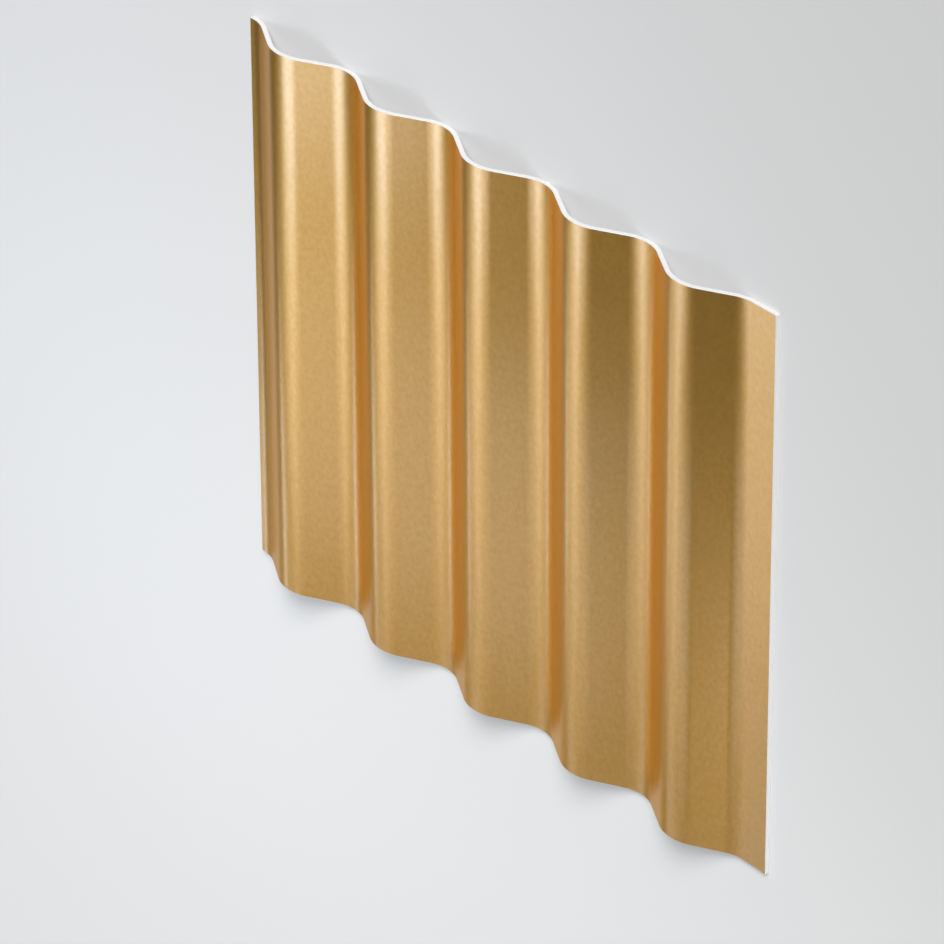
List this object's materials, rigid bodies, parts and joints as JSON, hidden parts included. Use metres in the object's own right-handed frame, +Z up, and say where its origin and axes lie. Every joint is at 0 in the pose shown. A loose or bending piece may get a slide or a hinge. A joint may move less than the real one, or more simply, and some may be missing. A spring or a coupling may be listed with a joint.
{
  "type": "corrugated metal sheet",
  "caption": "Rectangular sheet of rolled metal with round, evenly spaced corrugations along its length, a flat lap lip on one side and a satin gold face, for cladding and roofing.",
  "frame": {"origin": "middle of the sheet's rectangle, on the plane that its troughs and lips rest on", "axes": "+X across the corrugations towards the wide lip, +Y along the corrugations, +Z up out of the gold face"},
  "size_m": [0.3556, 0.28, 0.015],
  "materials": {
    "sheet_metal": "satin gold face, bare bright cut edges"
  },
  "bodies": {
    "root": {"corrugated_sheet": "sheet_metal"}
  },
  "joints": []
}
